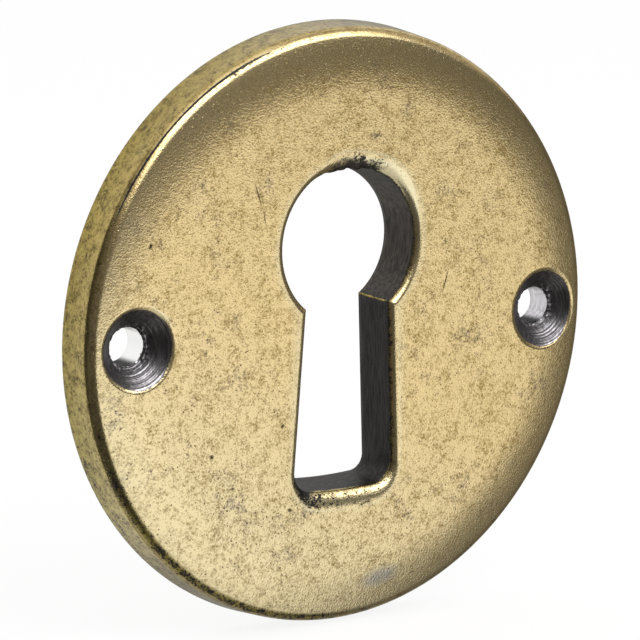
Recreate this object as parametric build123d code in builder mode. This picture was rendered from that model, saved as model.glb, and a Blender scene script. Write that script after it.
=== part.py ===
from build123d import *
from math import radians, tan
import os

# Round keyhole escutcheon for a cabinet door: one die-cast plate that stands upright as it is screwed on.
# Its flat back lies in the plane Y = 0, its front looks along -Y, and the origin is the middle of the back.
# Sizes are in millimetres and angles in degrees.

# Plate
plate_diameter = 38.0  # across the back edge, which is the widest place
side_draft = 6.5  # lean of the side wall, so that the casting leaves its die
rim_height = 2.7  # from the back to the corner between side wall and shoulder
rim_rounding = 0.58  # radius that takes the rim corner off
shoulder_width = 4.1  # soft fall of the face, from its flat middle to the rim corner
face_height = 3.1  # from the back to the flat middle of the face

# Keyhole, with its outline given at the back
key_circle_diameter = 9.2  # room for the key's shank
key_circle_height = 5.3  # circle's centre above the middle of the plate
slot_bottom_width = 6.75  # room for the key's bit, between the bottom corners
slot_flare = 3.3  # each side leans out downwards
slot_drop = 9.95  # lowest point of the slot below the middle of the plate
slot_bottom_bulge = 0.2  # the bottom is a shallow arc
slot_corner_radius = 1.0
keyhole_draft = 8.0  # the opening widens towards the front
keyhole_lip_rounding = 0.7  # soft front edge that guides the key in

# Screw holes, one on each side
bore_diameter = 2.4
countersink_diameter = 5.1  # at the height of the flat face
countersink_angle = 90.0
screw_land = 0.06  # left between the countersink and the rounded rim

# Derived sizes
plate_radius = plate_diameter / 2
rim_radius = plate_radius - rim_height * tan(radians(side_draft))
flat_radius = rim_radius - shoulder_width
countersink_radius = countersink_diameter / 2
screw_spacing = 2 * (rim_radius - rim_rounding - screw_land - countersink_radius)
slot_corner_height = slot_bottom_bulge - slot_drop
slot_bottom_half = slot_bottom_width / 2
slot_top_half = slot_bottom_half - (key_circle_height - slot_corner_height) * tan(radians(slot_flare))

# Keyhole outline at the back: a flared slot for the bit, fused with a circle for the shank
with BuildSketch(Plane.XZ) as keyhole:
    with BuildLine():
        slot_bottom = ThreePointArc(
            (-slot_bottom_half, slot_corner_height), (0, -slot_drop), (slot_bottom_half, slot_corner_height)
        )
        Polyline(
            slot_bottom @ 1, (slot_top_half, key_circle_height), (-slot_top_half, key_circle_height), slot_bottom @ 0
        )
    make_face()
    fillet(keyhole.vertices().sort_by(Axis.Y)[:2], radius=slot_corner_radius)
    with Locations((0, key_circle_height)):
        Circle(key_circle_diameter / 2)

with BuildPart() as escutcheon_plate:
    # Half section, from the flat face over the shoulder and the rim to the back, turned about the plate's axis
    with BuildSketch(Plane.XY) as half_section:
        with BuildLine():
            flat = Line((0, -face_height), (flat_radius, -face_height))
            shoulder = TangentArc(flat @ 1, (rim_radius, -rim_height), tangent=flat % 1)
            Polyline(shoulder @ 1, (plate_radius, 0), (0, 0), flat @ 0)
        make_face()
        rim_corner = half_section.vertices().sort_by_distance((rim_radius, -rim_height))[0]
        fillet(rim_corner, radius=rim_rounding)
    revolve(axis=Axis.Y)

    # Keyhole through the plate: its walls lean so that it widens towards the front, where its edge is rounded over
    with BuildPart(mode=Mode.SUBTRACT) as opening:
        extrude(keyhole.sketch, amount=face_height)
        draft(opening.faces().filter_by(Axis.Y, reverse=True), neutral_plane=Plane.XZ, angle=-keyhole_draft)
    flat_face = escutcheon_plate.faces().filter_by(Axis.Y).sort_by(Axis.Y)[0]
    fillet(flat_face.inner_wires()[0].edges(), radius=keyhole_lip_rounding)

    # Countersunk screw holes
    with Locations(Plane.XZ.offset(face_height)):
        with GridLocations(screw_spacing, 0, 2, 1):
            CounterSinkHole(bore_diameter / 2, countersink_radius, counter_sink_angle=countersink_angle)

escutcheon_plate.part.label = "escutcheon_plate"

os.makedirs("parts", exist_ok=True)
export_step(escutcheon_plate.part, "parts/escutcheon_plate.step")
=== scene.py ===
from math import acos, atan2, cos, exp, hypot, pi, radians, sin, sqrt, tan

import bmesh
import bpy
from mathutils import Matrix, Vector, noise


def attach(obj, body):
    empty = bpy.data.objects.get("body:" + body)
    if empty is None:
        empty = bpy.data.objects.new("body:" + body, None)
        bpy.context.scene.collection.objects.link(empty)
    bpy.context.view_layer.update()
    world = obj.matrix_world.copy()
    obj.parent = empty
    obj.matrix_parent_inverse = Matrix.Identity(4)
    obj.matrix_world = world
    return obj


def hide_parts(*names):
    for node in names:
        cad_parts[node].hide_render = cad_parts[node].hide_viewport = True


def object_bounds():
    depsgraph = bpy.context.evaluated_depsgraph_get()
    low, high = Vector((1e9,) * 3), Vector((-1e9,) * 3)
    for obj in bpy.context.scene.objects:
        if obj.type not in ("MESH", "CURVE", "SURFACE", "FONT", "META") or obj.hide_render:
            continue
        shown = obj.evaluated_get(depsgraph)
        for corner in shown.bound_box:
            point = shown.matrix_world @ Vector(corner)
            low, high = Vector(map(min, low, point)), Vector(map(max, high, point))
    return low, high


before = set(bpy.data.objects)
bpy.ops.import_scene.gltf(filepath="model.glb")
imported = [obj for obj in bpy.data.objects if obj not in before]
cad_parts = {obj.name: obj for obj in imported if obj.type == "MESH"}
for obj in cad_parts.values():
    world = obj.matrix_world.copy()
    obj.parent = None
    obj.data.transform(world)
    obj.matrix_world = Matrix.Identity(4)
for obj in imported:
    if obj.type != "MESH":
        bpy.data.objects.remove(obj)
CAD_LOW, CAD_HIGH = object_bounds()

bl_info = {
    "name": "Keyhole escutcheon",
    "version": (1, 0, 0),
    "blender": (4, 5, 0),
    "location": "3D View > Sidebar > Escutcheon",
    "description": "Round keyhole escutcheon in antique brass, with its studio stage",
    "category": "Object",
}

MM = 0.001
NODE = "escutcheon_plate"

# Steps along the mesh: half of the keyhole's outline has as many as half of the plate's round
BOTTOM_STEPS = 18
CORNER_STEPS = 16
SLOT_SIDE_STEPS = 84
CIRCLE_STEPS = 102
ROUND_STEPS = 2 * (BOTTOM_STEPS + CORNER_STEPS + SLOT_SIDE_STEPS + CIRCLE_STEPS)
FACE_STEPS = 38
BACK_STEPS = 14
SHOULDER_STEPS = 16
ROUNDING_STEPS = 16
BACK_EDGE_STEPS = 5
SIDE_STEPS = 8
WALL_STEPS = 10
CONE_STEPS = 56

# Rings of a bore, from the countersink to the back: two lie close to its ends, where the finish changes sharply
BORE_SHARES = (0.02, *(step / WALL_STEPS for step in range(1, WALL_STEPS)), 0.98, 1.0)

# Distances within which vertices are taken as one, or as lying on the flat face
WELD = 0.001 * MM
HOLE_WELD = 0.05 * MM
FLAT = 0.0005 * MM

# What each vertex keeps for the finish: black with painted shade, cut metal with painted glints, tarnish,
# wear with painted highlights, and drilled metal
LAYERS = ("oxide", "sink", "tarnish", "worn", "drilled")

# Black that hides the brass wholly, and darker black beyond it, which paints shade and a dark reflection
FULL_BLACK = 1.4
THICK_BLACK_AND_SHADE = 1.9

# Keyhole: places round the key circle's centre, counted from its right, and how far they reach
TOP_TURN, TOP_SPREAD = radians(89), radians(20)
BURR_TURN, BURR_SPREAD = radians(87), radians(27)
FOOT_TURN, FOOT_SPREAD = -pi / 2, radians(13)

# Keyhole: wear at the top as a share of the worst, and black on the lip, the slot's bottom, the burr, painted
# shade in the corner and the bare edge between slot and circle
TOP_WEAR = 0.7
LIP_BLACK = 1.2
FOOT_BLACK = 1.5
BURR_BLACK = 1.45
CORNER_SHADE_BLACK = 0.8
BARE_BLACK = 0.3
BURR_LUMP = 0.5 * MM
CORNER_SHADE_REACH = 1.3 * MM
BARE_REACH = 0.02 * MM

# Flat face: how much of the lip's wear it keeps along its edge, as wear and a painted highlight, and the
# wear at which that starts
EDGE_WEAR_AND_HIGHLIGHT = 0.55
EDGE_START = 0.94

# Screw holes: depth of the tool's rings on the cone, and of rings and chatter near the bore and in it
RING_DEPTH = 0.015 * MM
CHATTER_REACH = 0.28 * MM
CHATTER_LUMP = 0.22 * MM
CHATTER_RING_DEPTH = 0.05 * MM
CHATTER_DEPTH = 0.11 * MM
BORE_CHATTER = 0.06 * MM

# Screw holes, left and right: strength of the glints painted on the tool's rings, grey of the bore, and bare
# zinc in the bore
HOLE_FINISH = {-1: (0.85, 1.0, 1.0), 1: (0.6, 0.62, 0.2)}

# Rim: wear of its edge, with a painted highlight, and black in its lower left and lower right bands, partly
# painted shade, in its thin line, which is a painted dark reflection, in its specks, on the tarnished side and
# along the back edge
RIM_WEAR_AND_HIGHLIGHT = 0.35
BAND_BLACK_AND_SHADE = 0.75
RIGHT_BAND_BLACK_AND_SHADE = 0.42
PAINTED_REFLECTION_BLACK = 2.0
SPECK_BLACK = 0.6
SIDE_BLACK = 0.38
BACK_EDGE_BLACK = 0.3
BACK_EDGE_REACH = 0.15 * MM
TARNISH_FADE = 2.2 * MM


def linear(hex_colour):
    """An sRGB hex colour as linear red, green and blue."""
    parts = [int(hex_colour[i:i + 2], 16) / 255 for i in (1, 3, 5)]
    return [p / 12.92 if p <= 0.04045 else ((p + 0.055) / 1.055) ** 2.4 for p in parts]


def clamp(value):
    """The value, kept between 0 and 1."""
    return min(1.0, max(0.0, value))


def bell(value, middle, spread, power=2):
    """1 at the middle, falling off about a spread away from it, with a flatter top for a higher even power."""
    return exp(-(((value - middle) / spread) ** power))


def length(name, description, default_mm):
    """A size that a user may change, given in millimetres and kept in metres."""
    return bpy.props.FloatProperty(
        name=name, description=description, default=default_mm * MM, min=0, precision=5, unit="LENGTH"
    )


def angle(name, description, default_degrees):
    """An angle that a user may change, given in degrees."""
    return bpy.props.FloatProperty(
        name=name, description=description, default=radians(default_degrees), subtype="ANGLE"
    )


def colour(name, description, hex_colour):
    """A colour that a user may change, given as an sRGB hex value."""
    return bpy.props.FloatVectorProperty(
        name=name, description=description, default=linear(hex_colour), size=3, min=0, max=1, subtype="COLOR"
    )


class PlateSizes(bpy.types.PropertyGroup):
    """Sizes of the plate, its keyhole and its screw holes"""

    diameter: length("Diameter", "Across the back edge", (CAD_HIGH.x - CAD_LOW.x) / MM)
    face_height: length("Face height", "From the back to the flat middle", (CAD_HIGH.y - CAD_LOW.y) / MM)
    side_draft: angle("Side draft", "Lean of the side wall", 5.8)
    rim_height: length("Rim height", "From the back to the rim corner", 2.73)
    rim_rounding: length("Rim rounding", "Radius on the rim corner", 0.76)
    shoulder_width: length("Shoulder width", "From the flat middle to the rim corner", 4.1)
    back_rounding: length("Back rounding", "How far the edges at the back are broken", 0.12)
    circle_diameter: length("Key circle", "Keyhole's circle at the back", 9.2)
    circle_height: length("Circle height", "Circle's centre above the middle", 5.3)
    slot_width: length("Slot width", "Between the slot's bottom corners", 6.75)
    slot_flare: angle("Slot flare", "Lean of each side of the slot", 3.3)
    slot_drop: length("Slot drop", "Slot's lowest point below the middle", 9.95)
    slot_bulge: length("Slot bulge", "Height of the slot's bottom arc", 0.2)
    slot_corner: length("Slot corner", "Radius in the slot's bottom corners", 1.0)
    keyhole_draft: angle("Keyhole draft", "Lean of the keyhole's walls", 8.0)
    keyhole_lip: length("Keyhole lip", "Radius on the keyhole's front edge", 0.5)
    lip_wear: length("Lip wear", "How much wider keys have worn the lip at the circle's upper right", 0.55)
    wear_turn: angle("Wear turn", "Where the lip is worn most, round the key circle", 52.0)
    wear_spread: angle("Wear spread", "How far the wear reaches round the key circle", 32.0)
    foot_wear: length("Foot wear", "How much wider the lip is along the slot's bottom", 0.7)
    burr: length("Burr", "Height of the flash that the casting kept at the top of the keyhole", 0.42)
    bore: length("Bore", "Diameter of a screw hole", 2.4)
    countersink: length("Countersink", "Its diameter at the flat face", 5.1)
    screw_spacing: length("Screw spacing", "Between the screw holes' centres", 31.005)
    screw_lip: length("Screw lip", "How far a countersink's edge is rounded", 0.22)
    turning_pitch: length("Turning pitch", "Between the rings that the countersinking tool left", 0.15)


class FinishColours(bpy.types.PropertyGroup):
    """Colours of the antique brass finish"""

    brass: colour("Brass", "Bright relieved grain of the face", "#FFE4A8")
    patina: colour("Patina", "Duller brass between the grain", "#B89B59")
    grey: colour("Grey", "Blotches on the face", "#90877D")
    tarnish: colour("Tarnish", "Tint of the side and the back, which tumbling hardly reached", "#94936C")
    soot: colour("Soot", "Dark of pits and scratches", "#3A3026")
    # Also the colour of painted highlights on the lip, the rim's corner, the flat face's edge and the lower left
    burnish_and_highlight: colour("Burnish", "Lip of the keyhole where keys have worn it", "#FFF3C8")
    oxide: colour("Oxide", "Black in the key circle", "#54504B")
    slot: colour("Slot", "Deeper black in the slot", "#413F3E")
    # Also the colour of the glints painted on the countersinks' rings
    sink: colour("Sink", "Purple grey of the countersinks, cut and then blackened", "#E8E3E9")
    smear: colour("Smear", "Grey smear low on the shoulder", "#C6C0B0")
    drilled: colour("Drilled", "Bare zinc in the screw holes, drilled last", "#F4F4F2")


class StageSettings(bpy.types.PropertyGroup):
    """Camera and light"""

    azimuth: angle("Azimuth", "Camera's place round the plate", -35.125)
    elevation: angle("Elevation", "Camera's place above the horizon", 10.318)
    roll: angle("Roll", "Camera's tilt", 1.3765)
    distance: length("Distance", "From the camera to the plate", 228.0)
    lens: bpy.props.FloatProperty(
        name="Lens", description="Focal length in mm", default=204.0, subtype="DISTANCE_CAMERA"
    )
    softbox: bpy.props.FloatProperty(
        name="Softbox", description="Power of the softbox overhead", default=0.72, unit="POWER"
    )


# Mesh


def verts_of(edges):
    """The vertices of some edges, each once and in the order of the edges."""
    return dict.fromkeys(v for e in edges for v in e.verts)


def go_straight(bm, start, place):
    """Draws a straight edge from a vertex to a place, and returns its last vertex and the edge."""
    made = bmesh.ops.extrude_vert_indiv(bm, verts=[start])
    made["verts"][0].co = place
    return made["verts"][0], made["edges"][0]


def go_round(bm, start, centre, axis, turn, steps):
    """Draws an arc from a vertex, and returns its last vertex."""
    made = bmesh.ops.spin(bm, geom=[start], cent=centre, axis=axis, angle=turn, steps=steps)
    return next(v for v in made["geom_last"] if isinstance(v, bmesh.types.BMVert))


def slot_side(sizes):
    """Directions down and out of the slot's right side, and its distance from the middle of the plate."""
    down = Vector((sin(sizes.slot_flare), 0, -cos(sizes.slot_flare)))
    out = Vector((cos(sizes.slot_flare), 0, sin(sizes.slot_flare)))
    return down, out, out.dot(Vector((sizes.slot_width / 2, 0, sizes.slot_bulge - sizes.slot_drop)))


def slot_junction(sizes, offset):
    """Where the slot's right side meets the key circle, on the outline moved outwards by offset."""
    down, out, side = slot_side(sizes)
    circle = Vector((0, 0, sizes.circle_height))
    near = side + offset - out.dot(circle)
    return circle + out * near + down * sqrt((sizes.circle_diameter / 2 + offset) ** 2 - near**2)


def draw_keyhole(bm, sizes, offset, height):
    """Draws the keyhole's outline at a height over the back, moved outwards by offset, and returns its edges."""
    old = set(bm.edges)
    y = -height
    forward = (0, -1, 0)
    half = sizes.slot_width / 2
    down, out, side = slot_side(sizes)
    bottom_radius = (half**2 + sizes.slot_bulge**2) / (2 * sizes.slot_bulge)
    bottom_centre = Vector((0, 0, bottom_radius - sizes.slot_drop))

    # The corner's centre lies a corner radius inside both the slot's side and its bottom arc
    foot = out * (side - sizes.slot_corner) - bottom_centre
    along = foot.dot(down)
    reach = bottom_radius - sizes.slot_corner
    corner = bottom_centre + foot + down * (sqrt(along**2 - foot.length_squared + reach**2) - along)
    towards_corner = (corner - bottom_centre).normalized()
    bottom_turn = acos(-towards_corner.z)

    circle = Vector((0, 0, sizes.circle_height))
    radius = sizes.circle_diameter / 2 + offset
    junction = slot_junction(sizes, offset)
    circle_turn = pi - acos((circle.z - junction.z) / radius)

    level = Vector((0, y, 0))
    vert = bm.verts.new((0, y, -sizes.slot_drop - offset))
    vert = go_round(bm, vert, bottom_centre + level, forward, bottom_turn, BOTTOM_STEPS)
    vert = go_round(bm, vert, corner + level, forward, acos(towards_corner.dot(out)), CORNER_STEPS)
    vert, straight = go_straight(bm, vert, junction + level)
    go_round(bm, vert, circle + level, forward, circle_turn, CIRCLE_STEPS)
    bmesh.ops.subdivide_edges(bm, edges=[straight], cuts=SLOT_SIDE_STEPS - 1)
    half_edges = [e for e in bm.edges if e not in old]
    bmesh.ops.mirror(bm, geom=list(verts_of(half_edges)) + half_edges, axis="X", merge_dist=WELD)
    return [e for e in bm.edges if e not in old]


def half_section(sizes):
    """Flat's edge, centre and radius of the shoulder's arc, and centre of the rim's rounding, in half a section."""
    rim = sizes.diameter / 2 - sizes.rim_height * tan(sizes.side_draft)
    flat = rim - sizes.shoulder_width
    fall = sizes.face_height - sizes.rim_height
    bend = (sizes.shoulder_width**2 + fall**2) / (2 * fall)
    shoulder_centre = Vector((flat, bend - sizes.face_height, 0))

    # The rim's rounding touches the shoulder's arc from inside, and the side wall
    outward = Vector((cos(sizes.side_draft), -sin(sizes.side_draft), 0))
    towards_front = Vector((outward.y, -outward.x, 0))
    foot = outward * (outward.x * sizes.diameter / 2 - sizes.rim_rounding) - shoulder_centre
    along = foot.dot(towards_front)
    reach = bend - sizes.rim_rounding
    rim_centre = shoulder_centre + foot + towards_front * (sqrt(along**2 - foot.length_squared + reach**2) - along)
    return flat, shoulder_centre, bend, rim_centre


def section_height(sizes, rho):
    """Height of the front over the back at a distance from the plate's axis."""
    flat, shoulder_centre, bend, rim_centre = half_section(sizes)
    if rho <= flat:
        return sizes.face_height
    touch = shoulder_centre + (rim_centre - shoulder_centre).normalized() * bend
    centre, radius = (shoulder_centre, bend) if rho < touch.x else (rim_centre, sizes.rim_rounding)
    return sqrt(radius**2 - (rho - centre.x) ** 2) - centre.y


def turn_plate(bm, sizes):
    """Turns the section from the flat's edge over shoulder, rim, side and back edge, and returns its end rings."""
    old = set(bm.edges)
    axis = (0, 0, 1)
    flat, shoulder_centre, bend, rim_centre = half_section(sizes)
    outward = Vector((cos(sizes.side_draft), -sin(sizes.side_draft), 0))
    side = outward.x * sizes.diameter / 2
    towards_rim = (rim_centre - shoulder_centre).normalized()
    shoulder_turn = acos(-towards_rim.y)
    rim_turn = acos(towards_rim.dot(outward))

    # The back edge's small rounding touches the side wall and the back
    back_x = (side - sizes.back_rounding + outward.y * sizes.back_rounding) / outward.x
    back_centre = Vector((back_x, -sizes.back_rounding, 0))

    vert = bm.verts.new((flat, -sizes.face_height, 0))
    vert = go_round(bm, vert, shoulder_centre, axis, shoulder_turn, SHOULDER_STEPS)
    vert = go_round(bm, vert, rim_centre, axis, rim_turn, ROUNDING_STEPS)
    vert, wall = go_straight(bm, vert, back_centre + outward * sizes.back_rounding)
    vert = go_round(bm, vert, back_centre, axis, pi / 2 + sizes.side_draft, BACK_EDGE_STEPS)
    _, back = go_straight(bm, vert, (flat, 0, 0))
    bmesh.ops.subdivide_edges(bm, edges=[wall], cuts=SIDE_STEPS - 1)
    bmesh.ops.subdivide_edges(bm, edges=[back], cuts=SHOULDER_STEPS - 1)
    section = [e for e in bm.edges if e not in old]
    bmesh.ops.spin(
        bm, geom=list(verts_of(section)) + section, cent=(0, 0, 0), axis=(0, -1, 0),
        angle=2 * pi, steps=ROUND_STEPS, use_merge=True,
    )
    ends = [e for e in bm.edges if e.is_boundary and e not in old]
    middle = -sizes.face_height / 2
    return [e for e in ends if e.verts[0].co.y < middle], [e for e in ends if e.verts[0].co.y >= middle]


def bridge(bm, ring, other_ring, cuts=0):
    """Joins two rings of edges with a band of faces, cut into narrower bands."""
    bmesh.ops.bridge_loops(bm, edges=list(ring) + list(other_ring))
    if cuts:
        others = verts_of(other_ring)
        rungs = [e for v in verts_of(ring) for e in v.link_edges if e.other_vert(v) in others]
        bmesh.ops.subdivide_edges(bm, edges=rungs, cuts=cuts, use_grid_fill=True)


def round_circle(ring, sizes):
    """Each vertex of a keyhole ring, with its direction and its angle round the key circle's centre."""
    for vert in verts_of(ring):
        out = Vector((vert.co.x, 0, vert.co.z - sizes.circle_height)).normalized()
        yield vert, out, atan2(out.z, out.x)


def wear_and_highlight_lip(ring, sizes, share, across, layers):
    """Pushes a ring of the lip outwards where keys have worn it, at its top and along the slot's bottom."""
    for vert, out, turn in round_circle(ring, sizes):
        wear = bell(turn, sizes.wear_turn, sizes.wear_spread)
        foot = bell(turn, FOOT_TURN, FOOT_SPREAD, 4)
        top = bell(turn, TOP_TURN, TOP_SPREAD, 4)
        vert.co += out * across * (sizes.lip_wear * max(wear, TOP_WEAR * top) + sizes.foot_wear * foot)
        # Bare where keys rub and along its crest, which also paints a highlight there, and the last ring
        # starts the face, over which the wear then fades
        crest = bell(share, 0.72, 0.2)
        vert[layers["worn"]] = min(1.0, 4 * wear * (1 - share) + 0.5 * crest) if share < 1 else 1.0
        # Black comes up from the wall, less far where keys rub, and lies along the slot's bottom
        from_wall = (1 - share) ** (1.5 + 2 * wear) * (1 - 0.75 * foot)
        on_foot = foot * share * (1 - share) ** 0.35
        vert[layers["oxide"]] = LIP_BLACK * from_wall + FOOT_BLACK * on_foot


def leave_burr(ring, sizes, share, layers):
    """Pulls a ring of the keyhole's front edge inwards at its top, as the ragged dark flash of the casting."""
    for vert, out, turn in round_circle(ring, sizes):
        near = share * bell(turn, BURR_TURN, BURR_SPREAD, 4)
        ragged = 0.72 + 0.5 * noise.noise(vert.co / BURR_LUMP)
        vert.co -= out * sizes.burr * near * ragged
        vert[layers["oxide"]] = max(vert[layers["oxide"]], BURR_BLACK * near)


def paint_corner_shade(ring, sizes, share, layers):
    """Darkens a ring of the lip in the slot's lower left corner as painted shade."""
    corner = Vector((-sizes.slot_width / 2, 0, -sizes.slot_drop))
    for vert in verts_of(ring):
        away = (vert.co - corner).xz.length
        vert[layers["oxide"]] += CORNER_SHADE_BLACK * share * bell(away, 0, CORNER_SHADE_REACH)


def open_keyhole(bm, sizes, layers):
    """Builds the keyhole's leaning walls and rounded lip, and returns their front and back rings."""
    lean = tan(sizes.keyhole_draft)
    lip = sizes.keyhole_lip
    lip_height = sizes.face_height - lip
    lip_offset = lip_height * lean + lip / cos(sizes.keyhole_draft)
    wall_top = lip_height + lip * sin(sizes.keyhole_draft)
    rings = [draw_keyhole(bm, sizes, sizes.back_rounding, 0)]
    for step in range(WALL_STEPS):
        height = sizes.back_rounding + (wall_top - sizes.back_rounding) * step / WALL_STEPS
        ring = draw_keyhole(bm, sizes, height * lean, height)
        edge = slot_junction(sizes, height * lean).xz
        for vert in verts_of(ring):
            # The edge between slot and circle is rubbed bare
            bare = (Vector((abs(vert.co.x), vert.co.z)) - edge).length < BARE_REACH
            vert[layers["oxide"]] = BARE_BLACK if bare else FULL_BLACK
        leave_burr(ring, sizes, (step / WALL_STEPS) ** 4, layers)
        rings.append(ring)
    for step in range(ROUNDING_STEPS + 1):
        share = step / ROUNDING_STEPS
        bow = sizes.keyhole_draft + (pi / 2 - sizes.keyhole_draft) * share
        ring = draw_keyhole(bm, sizes, lip_offset - lip * cos(bow), lip_height + lip * sin(bow))
        wear_and_highlight_lip(ring, sizes, share, cos(sizes.keyhole_draft) - cos(bow), layers)
        leave_burr(ring, sizes, (1 - share) ** 0.45, layers)
        paint_corner_shade(ring, sizes, (1 - share) ** 0.5, layers)
        rings.append(ring)
    for ring, further in zip(rings, rings[1:]):
        bridge(bm, ring, further)
    return rings[-1], rings[0]


def burnish_and_highlight_face_edge(bm, sizes, layers):
    """Keeps the lip's wear only along the flat face's edge, as a narrow line of wear and painted highlight."""
    for vert in bm.verts:
        if vert.co.y < FLAT - sizes.face_height:
            vert[layers["worn"]] = EDGE_WEAR_AND_HIGHLIGHT * max(0.0, vert[layers["worn"]] - EDGE_START) / (1 - EDGE_START)


def snap_hole(bm, centre, radius, height):
    """Takes out the faces within a radius of a screw hole's axis where height gives a height, and rounds the gap."""
    def near(place, reach):
        return (place - centre).xz.length < reach and height(place) is not None

    gone = [f for f in bm.faces if near(f.calc_center_median(), radius)]
    bmesh.ops.delete(bm, geom=gone, context="FACES")
    verts = [v for v in bm.verts if v.is_boundary and near(v.co, 2 * radius)]
    for vert in verts:
        across = (vert.co - centre).xz.normalized() * radius
        vert.co = (centre.x + across.x, vert.co.y, centre.z + across.y)
        vert.co.y = -height(vert.co)
    bmesh.ops.remove_doubles(bm, verts=verts, dist=HOLE_WELD)
    return [e for e in bm.edges if e.is_boundary and near(e.verts[0].co, 2 * radius)]


def next_ring(bm, ring):
    """Extrudes a ring of edges, and returns the new ring and its vertices."""
    made = bmesh.ops.extrude_edge_only(bm, edges=ring)["geom"]
    edges = [e for e in made if isinstance(e, bmesh.types.BMEdge) and e.is_boundary]
    return edges, [v for v in made if isinstance(v, bmesh.types.BMVert)]


def finish_cone(vert, layers, side, turn, depth, turned, chatter, near_bore):
    """Blackens a vertex of a countersink, paints glints on the tool's rings, and leaves flecks on it."""
    rings = HOLE_FINISH[side][0]
    # Glints painted on the tool's rings in the lower right, and some in the upper right, where the cut
    # metal also reaches further out
    cut = bell(turn, radians(-68), radians(30), 4) + 0.35 * bell(turn, radians(35), radians(20))
    blackened = clamp((2 + 1.5 * cut) * (depth - 0.12 + 0.09 * cut))
    ring_glints = rings * cut * clamp(0.15 + 2.6 * turned) * (1 - 0.7 * near_bore)
    fleck = near_bore * clamp(3 * chatter - 0.5)
    # The left hole's edge is rubbed bare at its upper right
    rubbed = bell(turn, radians(50), radians(22)) * bell(depth, 0, 0.5) if side < 0 else 0.0
    vert[layers["oxide"]] = FULL_BLACK * blackened - 0.9 * rubbed
    vert[layers["sink"]] = blackened * max(0.1 + ring_glints, fleck)
    vert[layers["worn"]] = 0.15 * bell(depth, 0.15, 0.15) + 0.75 * rubbed


def cut_cone(bm, sizes, layers, side, centre, ring):
    """Draws a countersink from its worn edge down to the bore, with the tool's rings, and returns its last ring."""
    cone = sizes.countersink / 2
    bore = sizes.bore / 2
    lip = sizes.screw_lip
    outer = cone + lip
    for step in range(1, CONE_STEPS + 1):
        radius = outer + (bore - outer) * step / CONE_STEPS
        near_bore = bell(radius, bore, CHATTER_REACH)
        turned = noise.noise((2 * radius / sizes.turning_pitch, 7 * side, 0))
        ring, verts = next_ring(bm, ring)
        for vert in verts:
            across = Vector((vert.co.x - centre.x, 0, vert.co.z - centre.z)).normalized() * radius
            place = centre + across
            # Face and cone run into each other over the width of the lip
            face = section_height(sizes, hypot(place.x, place.z))
            slope = sizes.face_height - (cone - radius)
            blend = max(lip - abs(face - slope), 0) / lip
            height = min(face, slope) - blend**2 * lip / 4
            depth = clamp((face - height) / lip)
            chatter = noise.noise(across / CHATTER_LUMP)
            near_groove = near_bore * (CHATTER_RING_DEPTH * turned + CHATTER_DEPTH * chatter)
            groove = depth * (RING_DEPTH * turned + near_groove)
            vert.co = Vector((place.x, -(height + groove), place.z))
            turn = atan2(across.z, across.x)
            finish_cone(vert, layers, side, turn, depth, turned, chatter, near_bore)
    return ring


def drill_bore(bm, sizes, layers, side, centre, ring):
    """Draws a bore from the countersink to the back, and returns its last ring."""
    bore = sizes.bore / 2
    top = sizes.face_height - (sizes.countersink / 2 - bore)
    grey, bare = HOLE_FINISH[side][1:]
    for share in BORE_SHARES:
        ring, verts = next_ring(bm, ring)
        for vert in verts:
            across = (vert.co - centre).xz.normalized()
            under = bell(atan2(across.y, across.x), radians(-95), radians(42), 6)
            chatter = BORE_CHATTER * noise.noise(vert.co / CHATTER_LUMP) * under * bell(share, 0, 0.4)
            across *= bore + chatter
            vert.co = Vector((centre.x + across.x, top * (share - 1), across.y))
            # The lower side is painted black as shade, and the right hole keeps a grey film all round
            vert[layers["oxide"]] = FULL_BLACK + (THICK_BLACK_AND_SHADE - FULL_BLACK) * under
            vert[layers["sink"]] = grey * (1 - under)
            vert[layers["drilled"]] = bare * (1 - under)
    return ring


def sink_screw_hole(bm, sizes, layers, side):
    """Makes one countersunk screw hole, on the left (-1) or the right (1)."""
    centre = Vector((side * sizes.screw_spacing / 2, 0, 0))
    middle = -sizes.face_height / 2

    def front_height(place):
        return section_height(sizes, hypot(place.x, place.z)) if place.y < middle else None

    def back_height(place):
        return 0.0 if place.y > middle else None

    back_ring = snap_hole(bm, centre, 1.25 * sizes.bore / 2, back_height)
    front_ring = snap_hole(bm, centre, sizes.countersink / 2 + sizes.screw_lip, front_height)
    split = bmesh.ops.subdivide_edges(bm, edges=front_ring, cuts=1)["geom_split"]
    ring = [e for e in split if isinstance(e, bmesh.types.BMEdge)]
    ring = cut_cone(bm, sizes, layers, side, centre, ring)
    ring = drill_bore(bm, sizes, layers, side, centre, ring)
    bridge(bm, ring, back_ring)


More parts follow.
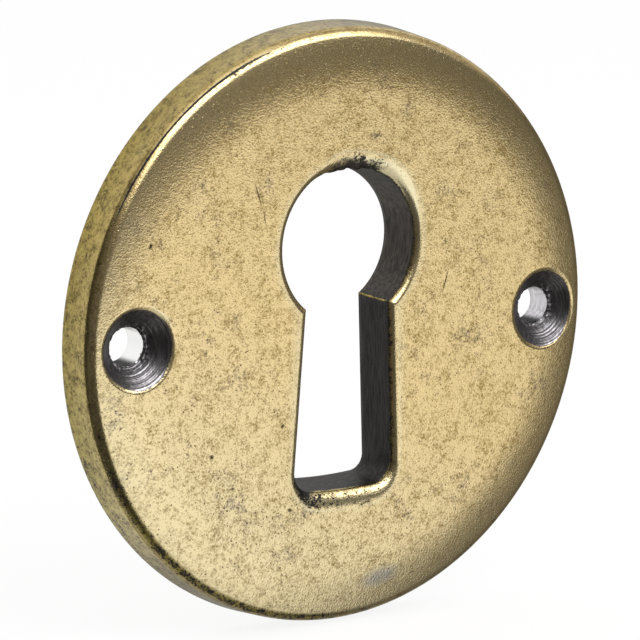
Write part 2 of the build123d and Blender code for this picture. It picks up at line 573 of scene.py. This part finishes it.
def weather_and_shade_rim(bm, sizes, layers):
    """Tarnishes side and back, wears and blackens the rim, and paints shade, a highlight and a dark reflection on it.
    """
    rim = sizes.diameter / 2 - 4 * sizes.rim_rounding
    for vert in bm.verts:
        # Tarnish starts half way round the rim's rounding and is thinner there
        frontward = min(1.0, -vert.co.y / TARNISH_FADE)
        tarnish = clamp((0.7 + vert.normal.y) / 0.3) * (1 - 0.2 * frontward)
        vert[layers["tarnish"]] = tarnish
        if vert.co.xz.length < rim or vert[layers["sink"]]:
            continue
        tilt = acos(max(-1.0, min(1.0, -vert.normal.y)))
        turn = atan2(vert.co.z, vert.co.x)
        lower = clamp((0.55 - sin(turn)) / 0.4)
        left = clamp((0.1 - cos(turn)) / 0.2)
        # Black bands low on the left and, fainter, low on the right: partly tarnish, partly painted shade
        band = lower * left * clamp((0.05 - sin(turn)) / 0.6) * bell(tilt, radians(38), radians(24), 4)
        right_band = lower * (1 - left) * bell(tilt, radians(56), radians(17))
        # A thin painted dark reflection along the upper left, and black specks on the bright edge above it
        dark_reflection_tilt = radians(43) + 0.28 * (turn - radians(120))
        line = bell(turn, radians(133), radians(23), 6) * bell(tilt, dark_reflection_tilt, radians(5))
        specks = bell(turn, radians(110), radians(18), 4) * bell(tilt, radians(30), radians(12), 4)
        back_edge = bell(vert.co.y, 0, BACK_EDGE_REACH) if tilt < radians(150) else 0.0
        tarnish = max(tarnish, band)
        vert[layers["tarnish"]] = tarnish
        # Wear along the rim's corner, which also paints a highlight there
        vert[layers["worn"]] += RIM_WEAR_AND_HIGHLIGHT * bell(tilt, radians(14), radians(8))
        vert[layers["oxide"]] += BAND_BLACK_AND_SHADE * band + RIGHT_BAND_BLACK_AND_SHADE * right_band
        vert[layers["oxide"]] += PAINTED_REFLECTION_BLACK * line + SPECK_BLACK * specks
        vert[layers["oxide"]] += SIDE_BLACK * tarnish * (1 - band) + BACK_EDGE_BLACK * back_edge


def sort_mesh(bm):
    """Lists vertices, edges and faces by their place, because spin lists them in another order each run."""
    def rank(place):
        return place.x + sqrt(2) * place.y + sqrt(3) * place.z

    bm.verts.sort(key=lambda v: rank(v.co))
    bm.edges.sort(key=lambda e: rank(e.verts[0].co + e.verts[1].co))
    bm.faces.sort(key=lambda f: rank(f.calc_center_median()))


class ESCUTCHEON_OT_plate(bpy.types.Operator):
    """Build the cast plate with its keyhole and countersunk screw holes, in antique brass"""

    bl_idname = "escutcheon.plate"
    bl_label = "Build plate"

    def execute(self, context):
        sizes = context.scene.escutcheon_sizes
        bm = bmesh.new()
        layers = {name: bm.verts.layers.float.new(name) for name in LAYERS}
        lip, foot = open_keyhole(bm, sizes, layers)
        bmesh.ops.reverse_faces(bm, faces=bm.faces[:])  # walls and turned section then run the same way round
        front, back = turn_plate(bm, sizes)
        bridge(bm, lip, front, FACE_STEPS)
        burnish_and_highlight_face_edge(bm, sizes, layers)
        bridge(bm, foot, back, BACK_STEPS)
        for side in (-1, 1):
            sink_screw_hole(bm, sizes, layers, side)
        bmesh.ops.recalc_face_normals(bm, faces=bm.faces[:])
        open_edges = sum(not e.is_manifold for e in bm.edges)
        if open_edges:
            raise RuntimeError(f"the plate's mesh has {open_edges} open edges")
        bm.normal_update()
        weather_and_shade_rim(bm, sizes, layers)
        for face in bm.faces:
            face.smooth = True
        sort_mesh(bm)
        mesh = bpy.data.meshes.new("plate_antique_brass")
        bm.to_mesh(mesh)
        bm.free()
        plate = bpy.data.objects.new("plate_antique_brass", mesh)
        context.scene.collection.objects.link(plate)
        mesh.materials.append(antique_brass(context.scene.escutcheon_colours))
        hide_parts(NODE)
        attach(plate, "root")
        return {"FINISHED"}


# Materials


def add_node(tree, kind, inputs=(), **settings):
    """Adds a node with its settings; inputs pairs each socket with a value or with the output linked to it.

    Sockets go by name or number: on a Mix node 0 is the factor, 2 and 3 are numbers and 6 and 7 are colours.
    """
    node = tree.nodes.new(kind)
    for name, value in settings.items():
        setattr(node, name, value)
    for socket, value in dict(inputs).items():
        if isinstance(value, bpy.types.NodeSocket):
            tree.links.new(value, node.inputs[socket])
        else:
            node.inputs[socket].default_value = value
    return node


# Widths of the patterns in the finish: tumbling leaves a grain of about 0.05 mm and the slot has lines about 0.1 mm
# apart, and both are drawn coarser so that they show
GRAIN = 0.13 * MM
MOTTLE = 0.7 * MM
BLOTCHES = 2.2 * MM
PITS = 0.32 * MM
SLOT_LINES = 0.16 * MM
BUMPS = 0.011 * MM

# Scratches and dents on the face: across and up from the middle, turn in degrees, length and width, in millimetres
MARKS = (
    (-7.05, 8.85, -70, 1.75, 0.07),
    (-6.55, 7.40, -78, 1.10, 0.05),
    (7.36, 2.46, 74, 1.77, 0.08),
    (-14.71, 6.27, 60, 0.45, 0.26),
    (-10.07, -7.10, 20, 0.40, 0.28),
    (-4.87, -5.70, 35, 0.34, 0.20),
    (-4.20, -11.10, 0, 0.40, 0.22),
)

# The grey smear, given in the same way
SMEAR = (2.9, -16.25, 10, 3.9, 1.5)

# Height over the back at which the marks lie, and how far they reach above and below it
MARK_HEIGHT = 3.0 * MM
MARK_REACH = 1.0 * MM


def mark_shape(tree, place, x, z, turn, mark_length, width):
    """Output that is 1 in the middle of a long mark on the face and fades to 0 at its edge."""
    local = add_node(tree, "ShaderNodeMapping", {
        "Vector": place, "Location": (x * MM, -MARK_HEIGHT, z * MM), "Rotation": (0, -radians(turn), 0),
        "Scale": (mark_length * MM / 2, MARK_REACH, width * MM / 2)}, vector_type="TEXTURE").outputs[0]
    away = add_node(tree, "ShaderNodeVectorMath", {0: local}, operation="LENGTH").outputs["Value"]
    return add_node(tree, "ShaderNodeMapRange", {
        "Value": away, "From Min": 0.3, "From Max": 1.0, "To Min": 1.0, "To Max": 0.0}).outputs[0]


def antique_brass(colours):
    """Zinc casting, brass plated, blackened and then relieved by tumbling."""
    # To the eye: satin pale brass with a fine brown grain, grey blotches, small dark pits and a few scratches,
    # a duller olive side, and black left inside the openings
    material = bpy.data.materials.new("antique_brass_tumbled")
    material.use_nodes = True
    tree = material.node_tree
    tree.nodes.clear()
    place = add_node(tree, "ShaderNodeTexCoord").outputs["Object"]
    height = add_node(tree, "ShaderNodeSeparateXYZ", {0: place}).outputs["Z"]
    oxide, sink, tarnish, worn, drilled = (
        add_node(tree, "ShaderNodeAttribute", attribute_name=name).outputs["Fac"] for name in LAYERS
    )

    # Stretched from front to back, because noise shows its grid on a flat that lies at its zero, as the back does
    cast = add_node(tree, "ShaderNodeMapping", {
        "Vector": place, "Location": (0, 0.31 * MM, 0), "Scale": (1, 1.1, 1)}).outputs[0]

    # Grain of the tumbling media over a wider mottle, and blotches
    grain = add_node(tree, "ShaderNodeTexNoise", {
        "Vector": cast, "Scale": 1 / GRAIN, "Detail": 1.0, "Roughness": 0.8}).outputs["Fac"]
    mottle = add_node(tree, "ShaderNodeTexNoise", {
        "Vector": cast, "Scale": 1 / MOTTLE, "Detail": 2.0, "Roughness": 1.0}).outputs["Fac"]
    blotch = add_node(tree, "ShaderNodeTexNoise", {
        "Vector": cast, "Scale": 1 / BLOTCHES, "Detail": 4.0, "Roughness": 0.65}).outputs["Fac"]
    greyness = add_node(tree, "ShaderNodeMapRange", {
        "Value": blotch, "From Min": 0.53, "From Max": 0.75, "To Min": 0.0, "To Max": 0.9}).outputs[0]
    # Towards the lower left the face is greyer and more pitted, and paler as a painted highlight
    fade = add_node(tree, "ShaderNodeVectorMath", {0: place, 1: (-0.45, 0, -0.9)}, operation="DOT_PRODUCT")
    low = add_node(tree, "ShaderNodeMapRange", {
        "Value": fade.outputs["Value"], "From Min": 2 * MM, "From Max": 14 * MM, "To Min": 0.0,
        "To Max": 0.5}).outputs[0]
    greyness = add_node(tree, "ShaderNodeMath", {0: low, 1: 0.5, 2: greyness}, operation="MULTIPLY_ADD").outputs[0]
    # Grain and mottle together decide how far the brass is relieved, and less of it is in the grey blotches
    speckle = add_node(tree, "ShaderNodeMath", {0: mottle, 1: 1.3, 2: grain}, operation="MULTIPLY_ADD").outputs[0]
    speckle = add_node(tree, "ShaderNodeMath", {0: grain, 1: 0.2, 2: speckle}, operation="MULTIPLY_ADD").outputs[0]
    speckle = add_node(tree, "ShaderNodeMath", {
        0: greyness, 1: -0.12, 2: speckle}, operation="MULTIPLY_ADD").outputs[0]
    relief = add_node(tree, "ShaderNodeMapRange", {
        "Value": speckle, "From Min": 0.82, "From Max": 1.32, "To Min": 0.0, "To Max": 1.0}).outputs[0]

    # Grey where the blackening was not wholly taken off, burnished where worn and where a highlight is painted,
    # and pits that are larger in the grey
    between = add_node(tree, "ShaderNodeMix", {
        0: greyness, 6: (*colours.patina, 1), 7: (*colours.grey, 1)}, data_type="RGBA").outputs[2]
    bright = add_node(tree, "ShaderNodeMix", {
        0: low, 6: (*colours.brass, 1), 7: (*colours.burnish_and_highlight, 1)}, data_type="RGBA").outputs[2]
    brass = add_node(tree, "ShaderNodeMix", {0: relief, 6: between, 7: bright}, data_type="RGBA").outputs[2]
    brass = add_node(tree, "ShaderNodeMix", {
        0: worn, 6: brass, 7: (*colours.burnish_and_highlight, 1)}, data_type="RGBA").outputs[2]
    pit_distance = add_node(tree, "ShaderNodeTexVoronoi", {
        "Vector": place, "Scale": 1 / PITS, "Randomness": 1.0}).outputs["Distance"]
    pitting = add_node(tree, "ShaderNodeMath", {0: low, 1: 0.15, 2: blotch}, operation="MULTIPLY_ADD").outputs[0]
    pit_size = add_node(tree, "ShaderNodeMapRange", {
        "Value": pitting, "From Min": 0.4, "From Max": 0.72, "To Min": 0.02, "To Max": 0.2}).outputs[0]
    pit_depth = add_node(tree, "ShaderNodeMath", {0: pit_size, 1: pit_distance}, operation="SUBTRACT").outputs[0]
    hollow = add_node(tree, "ShaderNodeMapRange", {
        "Value": pit_depth, "From Min": -0.03, "From Max": 0.07, "To Min": 0.0, "To Max": 0.6}).outputs[0]

    # Scratches and dents are broken up by the grain, and the smear by the mottle
    for mark in MARKS:
        ragged_mark = add_node(tree, "ShaderNodeMath", {
            0: mark_shape(tree, place, *mark), 1: grain}, operation="MULTIPLY").outputs[0]
        hollow = add_node(tree, "ShaderNodeMath", {
            0: ragged_mark, 1: 1.9, 2: hollow}, operation="MULTIPLY_ADD", use_clamp=True).outputs[0]
    smear = add_node(tree, "ShaderNodeMath", {
        0: mark_shape(tree, place, *SMEAR), 1: mottle}, operation="MULTIPLY").outputs[0]
    smear = add_node(tree, "ShaderNodeMath", {0: smear, 1: 1.7}, operation="MULTIPLY", use_clamp=True).outputs[0]
    brass = add_node(tree, "ShaderNodeMix", {
        0: smear, 6: brass, 7: (*colours.smear, 1)}, data_type="RGBA").outputs[2]
    pitted = add_node(tree, "ShaderNodeMix", {
        0: hollow, 6: brass, 7: (*colours.soot, 1)}, data_type="RGBA").outputs[2]

    # Olive tarnish of uneven strength on the side and the back
    uneven = add_node(tree, "ShaderNodeMapRange", {
        "Value": mottle, "From Min": 0.3, "From Max": 0.7, "To Min": 0.65, "To Max": 1.3}).outputs[0]
    olive = add_node(tree, "ShaderNodeVectorMath", {
        0: colours.tarnish, "Scale": uneven}, operation="SCALE").outputs[0]
    tarnished = add_node(tree, "ShaderNodeMix", {
        0: tarnish, 6: pitted, 7: olive}, data_type="RGBA", blend_type="MULTIPLY").outputs[2]

    # Black in the openings, deeper in the slot than in the circle, with a ragged edge where the tumbling wore it off
    upper = add_node(tree, "ShaderNodeMapRange", {
        "Value": height, "From Min": 1.0 * MM, "From Max": 2.2 * MM, "To Min": 0.0, "To Max": 1.0}).outputs[0]
    black = add_node(tree, "ShaderNodeMix", {
        0: upper, 6: (*colours.slot, 1), 7: (*colours.oxide, 1)}, data_type="RGBA").outputs[2]
    black = add_node(tree, "ShaderNodeMix", {
        0: sink, 6: black, 7: (*colours.sink, 1)}, data_type="RGBA").outputs[2]
    # Fine lines along the slot
    stretched = add_node(tree, "ShaderNodeMapping", {"Vector": place, "Scale": (1, 1, 0.12)}).outputs[0]
    streak = add_node(tree, "ShaderNodeTexNoise", {
        "Vector": stretched, "Scale": 1 / SLOT_LINES, "Detail": 1.0}).outputs["Fac"]
    streak = add_node(tree, "ShaderNodeMapRange", {
        "Value": streak, "From Min": 0.3, "From Max": 0.7, "To Min": 0.65, "To Max": 1.35}).outputs[0]
    # Black past the full amount is darker still: painted shade in hollows and a dark reflection on the rim
    thick_black_and_shade = add_node(tree, "ShaderNodeMapRange", {
        "Value": oxide, "From Min": FULL_BLACK, "From Max": THICK_BLACK_AND_SHADE, "To Min": 1.0, "To Max": 0.2}).outputs[0]
    shade = add_node(tree, "ShaderNodeMath", {0: streak, 1: thick_black_and_shade}, operation="MULTIPLY").outputs[0]
    black = add_node(tree, "ShaderNodeVectorMath", {0: black, "Scale": shade}, operation="SCALE").outputs[0]
    ragged = add_node(tree, "ShaderNodeMath", {0: relief, 1: -0.6, 2: oxide}, operation="MULTIPLY_ADD").outputs[0]
    cover = add_node(tree, "ShaderNodeMapRange", {
        "Value": ragged, "From Min": 0.12, "From Max": 0.48, "To Min": 0.0, "To Max": 1.0}).outputs[0]
    surface = add_node(tree, "ShaderNodeMix", {0: cover, 6: tarnished, 7: black}, data_type="RGBA").outputs[2]
    surface = add_node(tree, "ShaderNodeMix", {
        0: drilled, 6: surface, 7: (*colours.drilled, 1)}, data_type="RGBA").outputs[2]

    # Satin brass, duller black and glossy cut metal, with the grain, mottle and pits as fine bumps off the cut metal
    dull = add_node(tree, "ShaderNodeMapRange", {
        "Value": relief, "From Min": 0.0, "From Max": 1.0, "To Min": 0.28, "To Max": 0.2}).outputs[0]
    dull = add_node(tree, "ShaderNodeMix", {0: cover, 2: dull, 3: 0.5}).outputs[0]
    dull = add_node(tree, "ShaderNodeMix", {0: sink, 2: dull, 3: 0.14}).outputs[0]
    uncut = add_node(tree, "ShaderNodeMath", {0: sink, 1: -0.8, 2: 1.0}, operation="MULTIPLY_ADD").outputs[0]
    bumps = add_node(tree, "ShaderNodeMath", {0: mottle, 1: 0.25, 2: grain}, operation="MULTIPLY_ADD").outputs[0]
    bumps = add_node(tree, "ShaderNodeMath", {0: hollow, 1: -1.5, 2: bumps}, operation="MULTIPLY_ADD").outputs[0]
    bump = add_node(tree, "ShaderNodeBump", {"Height": bumps, "Strength": uncut, "Distance": BUMPS}).outputs[0]
    shader = add_node(tree, "ShaderNodeBsdfPrincipled", {
        "Base Color": surface, "Metallic": 1.0, "Roughness": dull, "Normal": bump})
    add_node(tree, "ShaderNodeOutputMaterial", {"Surface": shader.outputs[0]})
    return material


# Stage


def direction(azimuth, elevation):
    """Unit vector to a place round the plate: azimuth 0 is straight in front of it, a quarter turn to its right."""
    return Vector((sin(azimuth) * cos(elevation), -cos(azimuth) * cos(elevation), sin(elevation)))


# Floor, softbox and camera, in metres, with the softbox's azimuth and elevation
FLOOR_HALF = 3.0
SOFTBOX_SIZE = (0.46, 0.28)
SOFTBOX_PLACE = (radians(12), radians(42))
SOFTBOX_DISTANCE = 0.4
CAMERA_TARGET = Vector((-0.0855, 0, 0.0456)) * MM
SENSOR_WIDTH = 36.0  # in mm, as the lens
CLIP_START = 0.01

# White of the paper under light, and the share of plain white that the camera sees in its place
PAPER_WHITE = "#F3F3F3"
PAPER_GLOW = 0.88

# Warm tint of what little light the cards send back
CARD_TINT = "#FFFAEF"

# Black cards round the plate, as a photographer sets them for metal: azimuth from and to, elevation from and to
# and the softness of the edge, all in degrees, and how much of the white they take away
BLACK_CARDS = (
    (-122, 125, -5, 16, 4, 0.9),
    (-122, -5, -5, 26, 6, 0.9),
    (-122, 21, -8, 16, 5, 0.88),
    (-122, -38, -60, 34, 10, 0.92),
    (-122, -38, 26, 54, 8, 0.62),
    (-122, -3, -60, -2, 8, 0.92),
    (46, 122, -60, 0, 10, 0.88),
    (52, 122, -10, 8, 10, 0.88),
    (52, 92, 4, 24, 10, 0.86),
    (41, 110, 14, 75, 8, 0.62),
    (38, 122, -60, -16, 6, 0.88),
    (-125, 125, -90, -30, 8, 0.42),
    (-200, 200, -90, -52, 8, 0.5),
    (-200, -120, -90, 0, 30, 0.05),
    (115, 172, -90, 15, 24, 0.6),
)


def white_room(world):
    """White surroundings for camera and metal, with black cards that only the metal shows."""
    world.use_nodes = True
    tree = world.node_tree
    tree.nodes.clear()
    towards = add_node(tree, "ShaderNodeSeparateXYZ", {
        0: add_node(tree, "ShaderNodeTexCoord").outputs["Generated"]}).outputs
    forward = add_node(tree, "ShaderNodeMath", {0: towards["Y"], 1: -1.0}, operation="MULTIPLY").outputs[0]
    azimuth = add_node(tree, "ShaderNodeMath", {0: towards["X"], 1: forward}, operation="ARCTAN2").outputs[0]
    elevation = add_node(tree, "ShaderNodeMath", {0: towards["Z"]}, operation="ARCSINE").outputs[0]
    path = add_node(tree, "ShaderNodeLightPath").outputs
    dark = 0.0
    for left, right, low, high, softness, share in BLACK_CARDS:
        shade = share
        for turn, start, stop in ((azimuth, left, right), (elevation, low, high)):
            off = add_node(tree, "ShaderNodeMath", {0: turn, 1: radians((start + stop) / 2)}, operation="SUBTRACT")
            off = add_node(tree, "ShaderNodeMath", {0: off.outputs[0]}, operation="ABSOLUTE")
            cover = add_node(tree, "ShaderNodeMapRange", {
                "Value": off.outputs[0], "From Min": radians((stop - start - softness) / 2),
                "From Max": radians((stop - start + softness) / 2), "To Min": 1.0, "To Max": 0.0})
            shade = add_node(tree, "ShaderNodeMath", {0: cover.outputs[0], 1: shade}, operation="MULTIPLY").outputs[0]
        dark = add_node(tree, "ShaderNodeMath", {0: shade, 1: dark}, operation="MAXIMUM").outputs[0]
    shown = add_node(tree, "ShaderNodeMath", {0: dark, 1: path["Is Glossy Ray"]}, operation="MULTIPLY").outputs[0]
    light = add_node(tree, "ShaderNodeMath", {0: 1.0, 1: shown}, operation="SUBTRACT").outputs[0]
    tint = add_node(tree, "ShaderNodeMix", {
        0: shown, 6: (1, 1, 1, 1), 7: (*linear(CARD_TINT), 1)}, data_type="RGBA").outputs[2]
    back = add_node(tree, "ShaderNodeBackground", {"Color": tint, "Strength": light})
    add_node(tree, "ShaderNodeOutputWorld", {"Surface": back.outputs[0]})


def white_paper():
    """Matt white paper: it keeps a soft shadow and otherwise shows as white."""
    material = bpy.data.materials.new("white_paper")
    material.use_nodes = True
    tree = material.node_tree
    tree.nodes.clear()
    path = add_node(tree, "ShaderNodeLightPath").outputs
    seen = add_node(tree, "ShaderNodeMath", {
        0: path["Is Camera Ray"], 1: path["Is Transmission Ray"]}, operation="MAXIMUM").outputs[0]
    share = add_node(tree, "ShaderNodeMath", {0: seen, 1: PAPER_GLOW}, operation="MULTIPLY").outputs[0]
    matt = add_node(tree, "ShaderNodeBsdfDiffuse", {"Color": (*linear(PAPER_WHITE), 1)})
    white = add_node(tree, "ShaderNodeEmission", {"Color": (1, 1, 1, 1), "Strength": 1.0})
    mix = add_node(tree, "ShaderNodeMixShader", {0: share, 1: matt.outputs[0], 2: white.outputs[0]})
    add_node(tree, "ShaderNodeOutputMaterial", {"Surface": mix.outputs[0]})
    return material


class ESCUTCHEON_OT_stage(bpy.types.Operator):
    """Set the pale floor, the white room, the softbox and the camera"""

    bl_idname = "escutcheon.stage"
    bl_label = "Build stage"

    def execute(self, context):
        scene = context.scene
        settings = scene.escutcheon_stage
        scene.view_settings.view_transform = "Standard"
        scene.world = scene.world or bpy.data.worlds.new("white_room")
        white_room(scene.world)

        bm = bmesh.new()
        bmesh.ops.create_grid(bm, x_segments=1, y_segments=1, size=FLOOR_HALF)
        bmesh.ops.translate(bm, verts=bm.verts[:], vec=(0, 0, CAD_LOW.z))
        mesh = bpy.data.meshes.new("floor")
        bm.to_mesh(mesh)
        bm.free()
        floor = bpy.data.objects.new("floor", mesh)
        mesh.materials.append(white_paper())
        floor.visible_glossy = False  # the metal shows the white room and its cards in the floor's place
        scene.collection.objects.link(floor)

        lamp = bpy.data.lights.new("softbox", "AREA")
        lamp.shape = "RECTANGLE"
        lamp.size, lamp.size_y = SOFTBOX_SIZE
        lamp.energy = settings.softbox
        softbox = bpy.data.objects.new("softbox", lamp)
        towards = direction(*SOFTBOX_PLACE)
        softbox.location = towards * SOFTBOX_DISTANCE
        softbox.rotation_euler = towards.to_track_quat("Z", "Y").to_euler()
        scene.collection.objects.link(softbox)

        lens = bpy.data.cameras.new("camera")
        lens.lens = settings.lens
        lens.sensor_width = SENSOR_WIDTH
        lens.clip_start = CLIP_START
        camera = bpy.data.objects.new("camera", lens)
        back = direction(settings.azimuth, settings.elevation)
        right = Vector((cos(settings.azimuth), sin(settings.azimuth), 0))
        up = back.cross(right)
        c, s = cos(settings.roll), sin(settings.roll)
        axes = Matrix((c * right + s * up, c * up - s * right, back)).transposed().to_4x4()
        camera.matrix_world = Matrix.Translation(CAMERA_TARGET + back * settings.distance) @ axes
        scene.collection.objects.link(camera)
        scene.camera = camera
        return {"FINISHED"}


class ESCUTCHEON_PT_sidebar(bpy.types.Panel):
    """Sizes, colours and stage of the escutcheon"""

    bl_idname = "ESCUTCHEON_PT_sidebar"
    bl_label = "Escutcheon"
    bl_space_type = "VIEW_3D"
    bl_region_type = "UI"
    bl_category = "Escutcheon"

    def draw(self, context):
        for group in ("escutcheon_sizes", "escutcheon_colours", "escutcheon_stage"):
            box = self.layout.box()
            settings = getattr(context.scene, group)
            for name in settings.__annotations__:
                box.prop(settings, name)
        self.layout.operator(ESCUTCHEON_OT_plate.bl_idname)
        self.layout.operator(ESCUTCHEON_OT_stage.bl_idname)


CLASSES = (
    PlateSizes,
    FinishColours,
    StageSettings,
    ESCUTCHEON_OT_plate,
    ESCUTCHEON_OT_stage,
    ESCUTCHEON_PT_sidebar,
)


def register():
    for item in CLASSES:
        bpy.utils.register_class(item)
    bpy.types.Scene.escutcheon_sizes = bpy.props.PointerProperty(type=PlateSizes)
    bpy.types.Scene.escutcheon_colours = bpy.props.PointerProperty(type=FinishColours)
    bpy.types.Scene.escutcheon_stage = bpy.props.PointerProperty(type=StageSettings)


def unregister():
    del bpy.types.Scene.escutcheon_stage
    del bpy.types.Scene.escutcheon_colours
    del bpy.types.Scene.escutcheon_sizes
    for item in reversed(CLASSES):
        bpy.utils.unregister_class(item)


def main():
    register()
    bpy.ops.escutcheon.plate()
    bpy.ops.escutcheon.stage()


if __name__ == "__main__":
    main()
